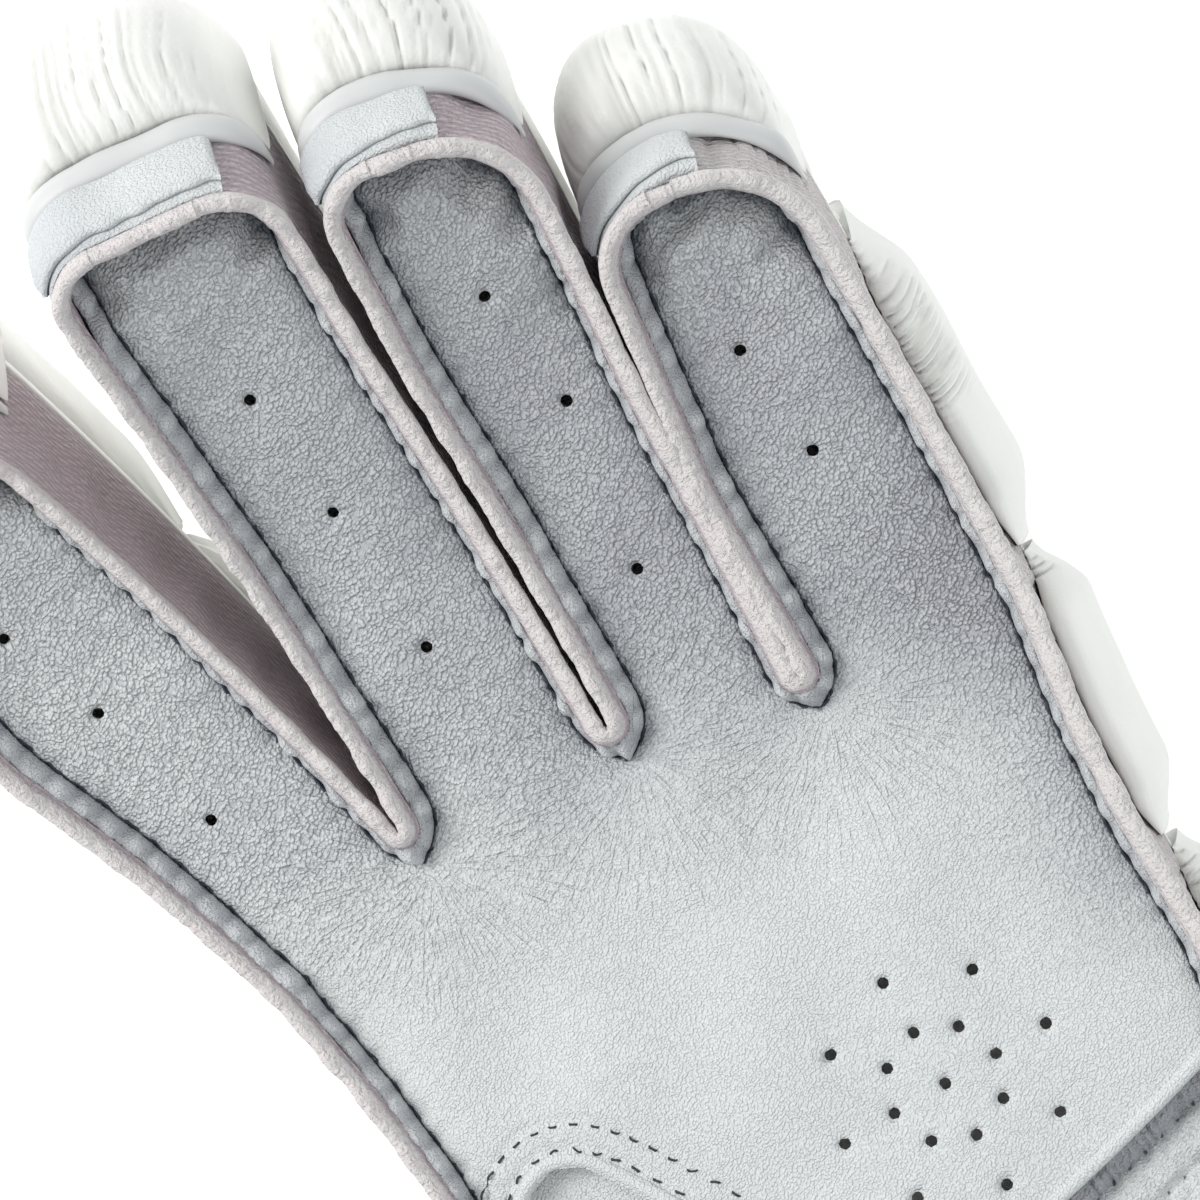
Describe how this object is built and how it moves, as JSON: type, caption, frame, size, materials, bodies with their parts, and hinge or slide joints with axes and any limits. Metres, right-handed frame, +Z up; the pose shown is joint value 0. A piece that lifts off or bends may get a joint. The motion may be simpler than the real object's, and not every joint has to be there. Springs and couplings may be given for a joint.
{
  "type": "cricket batting glove",
  "caption": "Left-hand padded batting glove lying palm up, with a grained leather palm, cloth finger sides, strapped fingertips, segmented back rolls and an open cuff.",
  "frame": {"origin": "on the table under the back of the hand, at the bottom of the roll over the ring finger's hand bone", "axes": "+X towards the little finger, +Y towards the fingertips, +Z up out of the palm"},
  "size_m": [0.1626, 0.258, 0.0806],
  "materials": {
    "palm_leather": "soft white leather with a fine pebbled grain, slightly bluish",
    "gusset_cloth": "woven cloth, pinkish grey, with fuzzy raw edges",
    "roll_leather": "smooth ivory-white coated leather over foam",
    "back_leather": "smooth white leather",
    "strap_leather": "grained white leather, folded double, with raw cut ends",
    "heel_padding": "quilted white leather over thin padding",
    "cuff_towelling": "off-white ribbed towelling",
    "closure_webbing": "white woven tape"
  },
  "bodies": {
    "root": {"palm_leather": "palm_leather", "thumb_leather": "palm_leather", "heel_panel": "heel_padding", "hand_back": "back_leather", "thumb_back": "back_leather", "thumb_gusset": "gusset_cloth", "index_side_gusset": "gusset_cloth", "index_tip_wall": "gusset_cloth", "index_middle_fourchette": "gusset_cloth", "middle_tip_wall": "gusset_cloth", "middle_ring_fourchette": "gusset_cloth", "ring_tip_wall": "gusset_cloth", "ring_little_fourchette": "gusset_cloth", "little_tip_wall": "gusset_cloth", "little_side_gusset": "gusset_cloth", "index_roll_proximal": "roll_leather", "index_roll_distal": "roll_leather", "index_tip_band": "roll_leather", "index_tip_strap": "strap_leather", "middle_roll_proximal": "roll_leather", "middle_roll_distal": "roll_leather", "middle_tip_band": "roll_leather", "middle_tip_strap": "strap_leather", "ring_roll_proximal": "roll_leather", "ring_roll_distal": "roll_leather", "ring_tip_band": "roll_leather", "ring_tip_strap": "strap_leather", "little_roll_proximal": "roll_leather", "little_roll_distal": "roll_leather", "little_tip_band": "roll_leather", "little_tip_strap": "strap_leather", "back_roll_upper_index": "roll_leather", "back_roll_upper_middle": "roll_leather", "back_roll_upper_ring": "roll_leather", "back_roll_upper_little": "roll_leather", "back_roll_lower_index": "roll_leather", "back_roll_lower_middle": "roll_leather", "back_roll_lower_ring": "roll_leather", "back_roll_lower_little": "roll_leather", "thumb_roll_proximal": "roll_leather", "thumb_roll_distal": "roll_leather", "cuff": "cuff_towelling", "cuff_binding": "closure_webbing", "wrist_strap": "closure_webbing"}
  },
  "joints": []
}
